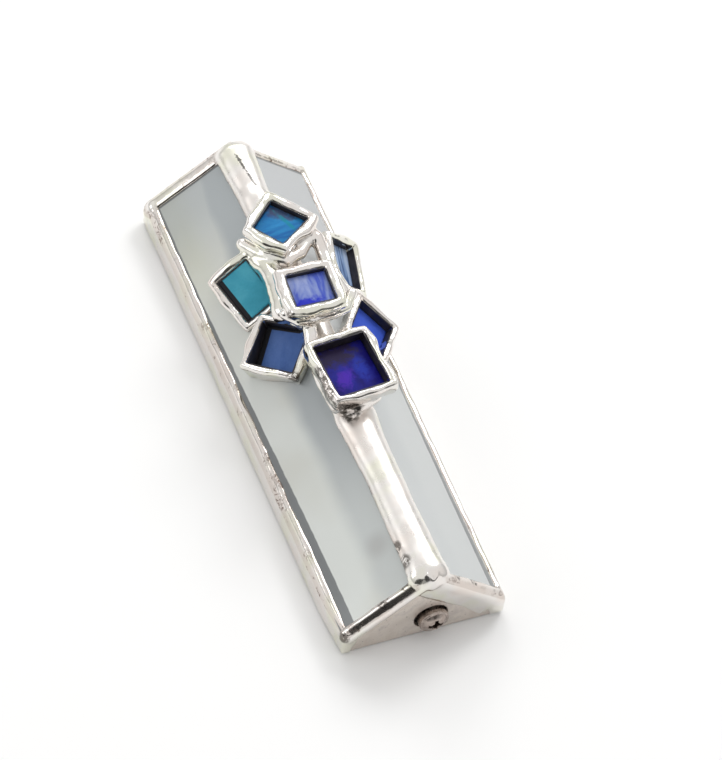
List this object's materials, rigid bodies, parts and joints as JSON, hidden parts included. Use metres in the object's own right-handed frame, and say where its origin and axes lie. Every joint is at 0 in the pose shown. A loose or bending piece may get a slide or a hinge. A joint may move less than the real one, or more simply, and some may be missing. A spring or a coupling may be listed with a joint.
{
  "type": "mezuzah case",
  "caption": "Roof-shaped case of two frosted glass panels in solder seams, with soldered glass tiles on its ridge, hooked over a back strip and locked by an end screw.",
  "frame": {"origin": "middle of the back strip's rear face, which lies on the doorpost", "axes": "+Z out from the doorpost, +Y along the case towards the hooked top end, +X to the right when the case is seen from the front; the lock screw is at the -Y end"},
  "size_m": [0.0362, 0.1113, 0.0282],
  "materials": {
    "frosted_glass": "frosted inside, glossy outside",
    "solder": "hand-run polished tin solder",
    "tinned_plate": "thinly tinned, satin",
    "strip_metal": "plain sheet, satin",
    "screw_steel": "nickel plated",
    "tile_a_blue": "blue with a teal streak",
    "tile_b_teal": "even teal",
    "tile_c_slate": "slate blue",
    "tile_d_violet": "violet blue with pale wisps",
    "tile_e_pale": "pale blue with dark streaks",
    "tile_f_royal": "royal blue",
    "tile_g_indigo": "dark indigo with violet and blue patches"
  },
  "bodies": {
    "back_plate": {"back_strip": "strip_metal"},
    "glazed_case": {"ridge_seam": "solder", "left_glass_panel": "frosted_glass", "right_glass_panel": "frosted_glass", "left_edge_seam": "solder", "right_edge_seam": "solder", "bottom_left_gable_seam": "solder", "bottom_right_gable_seam": "solder", "top_left_gable_seam": "solder", "top_right_gable_seam": "solder", "bottom_end_plate": "tinned_plate", "top_end_plate": "tinned_plate", "clamp_bracket": "strip_metal", "tile_a_frame": "solder", "tile_b_frame": "solder", "tile_c_frame": "solder", "tile_d_frame": "solder", "tile_e_frame": "solder", "tile_f_frame": "solder", "tile_g_frame": "solder", "tile_a_glass": "tile_a_blue", "tile_b_glass": "tile_b_teal", "tile_c_glass": "tile_c_slate", "tile_d_glass": "tile_d_violet", "tile_e_glass": "tile_e_pale", "tile_f_glass": "tile_f_royal", "tile_g_glass": "tile_g_indigo", "tile_a_post": "solder", "tile_d_post": "solder", "tile_g_post": "solder"},
    "clamp_washer": {"washer": "screw_steel"},
    "clamp_screw": {"lock_screw": "screw_steel"}
  },
  "joints": [
    {"name": "case_swing", "type": "hinge", "parent": "back_plate", "child": "glazed_case", "pos_m": [0, 0.0541, 0.002], "axis": [-1, 0, 0], "range_deg": [0, 30]},
    {"name": "screw_travel", "type": "slide", "parent": "glazed_case", "child": "clamp_washer", "axis": [0, -1, 0], "range_m": [0, 0.0035]},
    {"name": "screw_turn", "type": "hinge", "parent": "clamp_washer", "child": "clamp_screw", "pos_m": [0.0018, -0.054, 0.0052], "axis": [0, -1, 0], "range_deg": [0, 2530]}
  ],
  "couplings": [
    {"joint": "screw_turn", "follows": "screw_travel", "rad_per_m": 12566}
  ]
}
